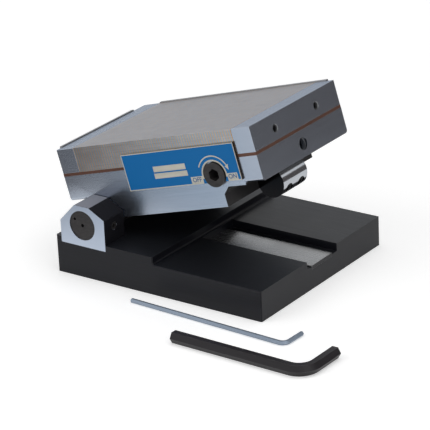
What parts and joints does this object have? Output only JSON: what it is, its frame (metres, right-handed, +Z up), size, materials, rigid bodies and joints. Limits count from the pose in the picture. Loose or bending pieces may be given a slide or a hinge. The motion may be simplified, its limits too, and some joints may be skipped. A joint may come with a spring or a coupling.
{
  "type": "sine magnetic chuck",
  "caption": "Permanent magnetic chuck on sine rollers, hinged to a base with a gauge block slot, with stop plates, a hex-driven magnet switch and its hex keys.",
  "frame": {"origin": "centre of the base plate's underside", "axes": "+X along the base from the hinge towards the raised end, +Y from the operating side to the back, +Z up"},
  "size_m": [0.2692, 0.2124, 0.1301],
  "materials": {
    "black_oxide": "satin black oxide",
    "ground_steel": "surface ground",
    "hinge_steel": "ground faces",
    "dark_steel": "blackened",
    "polished_chrome": "polished",
    "separator_copper": "satin",
    "pole_steel": "surface ground",
    "pole_brass": "surface ground",
    "plate_blue": "printed satin",
    "screw_steel": "blackened",
    "carriage_aluminium": "milled",
    "ferrite": "matt",
    "bronze": "turned",
    "key_bright": "plated",
    "key_black": "satin black oxide"
  },
  "bodies": {
    "base": {"base_plate": "black_oxide", "gauge_strip": "ground_steel", "front_hinge_block": "hinge_steel", "rear_hinge_block": "hinge_steel", "clamp_pads": "bronze"},
    "chuck": {"chuck_body": "ground_steel", "separator_frame": "separator_copper", "left_end_rail": "pole_steel", "right_end_rail": "pole_steel", "steel_pole_bars": "pole_steel", "brass_pole_spacers": "pole_brass", "hinge_roller": "dark_steel", "sine_roller": "polished_chrome", "sine_roller_screws": "screw_steel", "nameplate": "plate_blue", "shaft_stop_pin": "ground_steel", "end_stop_screws": "screw_steel", "back_stop_screws": "screw_steel"},
    "selector": {"operating_shaft": "dark_steel", "crank_disc": "ground_steel"},
    "magnet_carriage": {"carriage_frame": "carriage_aluminium", "carriage_magnets": "ferrite", "carriage_pole_bars": "pole_steel"},
    "end_stop": {"end_stop_plate": "dark_steel"},
    "back_stop": {"back_stop_plate": "dark_steel"},
    "front_lock": {"front_lock_screw": "screw_steel"},
    "rear_lock": {"rear_lock_screw": "screw_steel"},
    "large_key": {"large_hex_key": "key_black"},
    "small_key": {"small_hex_key": "key_bright"}
  },
  "joints": [
    {"name": "tilt", "type": "hinge", "parent": "base", "child": "chuck", "pos_m": [-0.06325, 0, 0.0398], "axis": [0, -1, 0], "range_deg": [-16, 29]},
    {"name": "selector_turn", "type": "hinge", "parent": "chuck", "child": "selector", "pos_m": [0.0382, -0.05275, 0.09053], "axis": [0, 1, 0], "range_deg": [0, 180]},
    {"name": "carriage_slide", "type": "slide", "parent": "chuck", "child": "magnet_carriage", "axis": [0.9613, 0, 0.2756], "range_m": [0, 0.006]},
    {"name": "end_stop_slide", "type": "slide", "parent": "chuck", "child": "end_stop", "axis": [-0.2756, 0, 0.9613], "range_m": [-0.001, 0.005]},
    {"name": "back_stop_slide", "type": "slide", "parent": "chuck", "child": "back_stop", "axis": [-0.2756, 0, 0.9613], "range_m": [-0.001, 0.005]},
    {"name": "front_lock_turn", "type": "hinge", "parent": "base", "child": "front_lock", "pos_m": [-0.0459, -0.06463, 0.0398], "axis": [1, 0, 0], "range_deg": [0, 360]},
    {"name": "rear_lock_turn", "type": "hinge", "parent": "base", "child": "rear_lock", "pos_m": [-0.0459, 0.06463, 0.0398], "axis": [1, 0, 0], "range_deg": [0, 360]},
    {"name": "large_key_lift", "type": "slide", "parent": "base", "child": "large_key", "axis": [0, 0, 1], "range_m": [0, 0.12]},
    {"name": "small_key_lift", "type": "slide", "parent": "base", "child": "small_key", "axis": [0, 0, 1], "range_m": [0, 0.12]}
  ],
  "couplings": [
    {"joint": "selector_turn", "follows": "carriage_slide", "rad_per_m": 523.6}
  ]
}
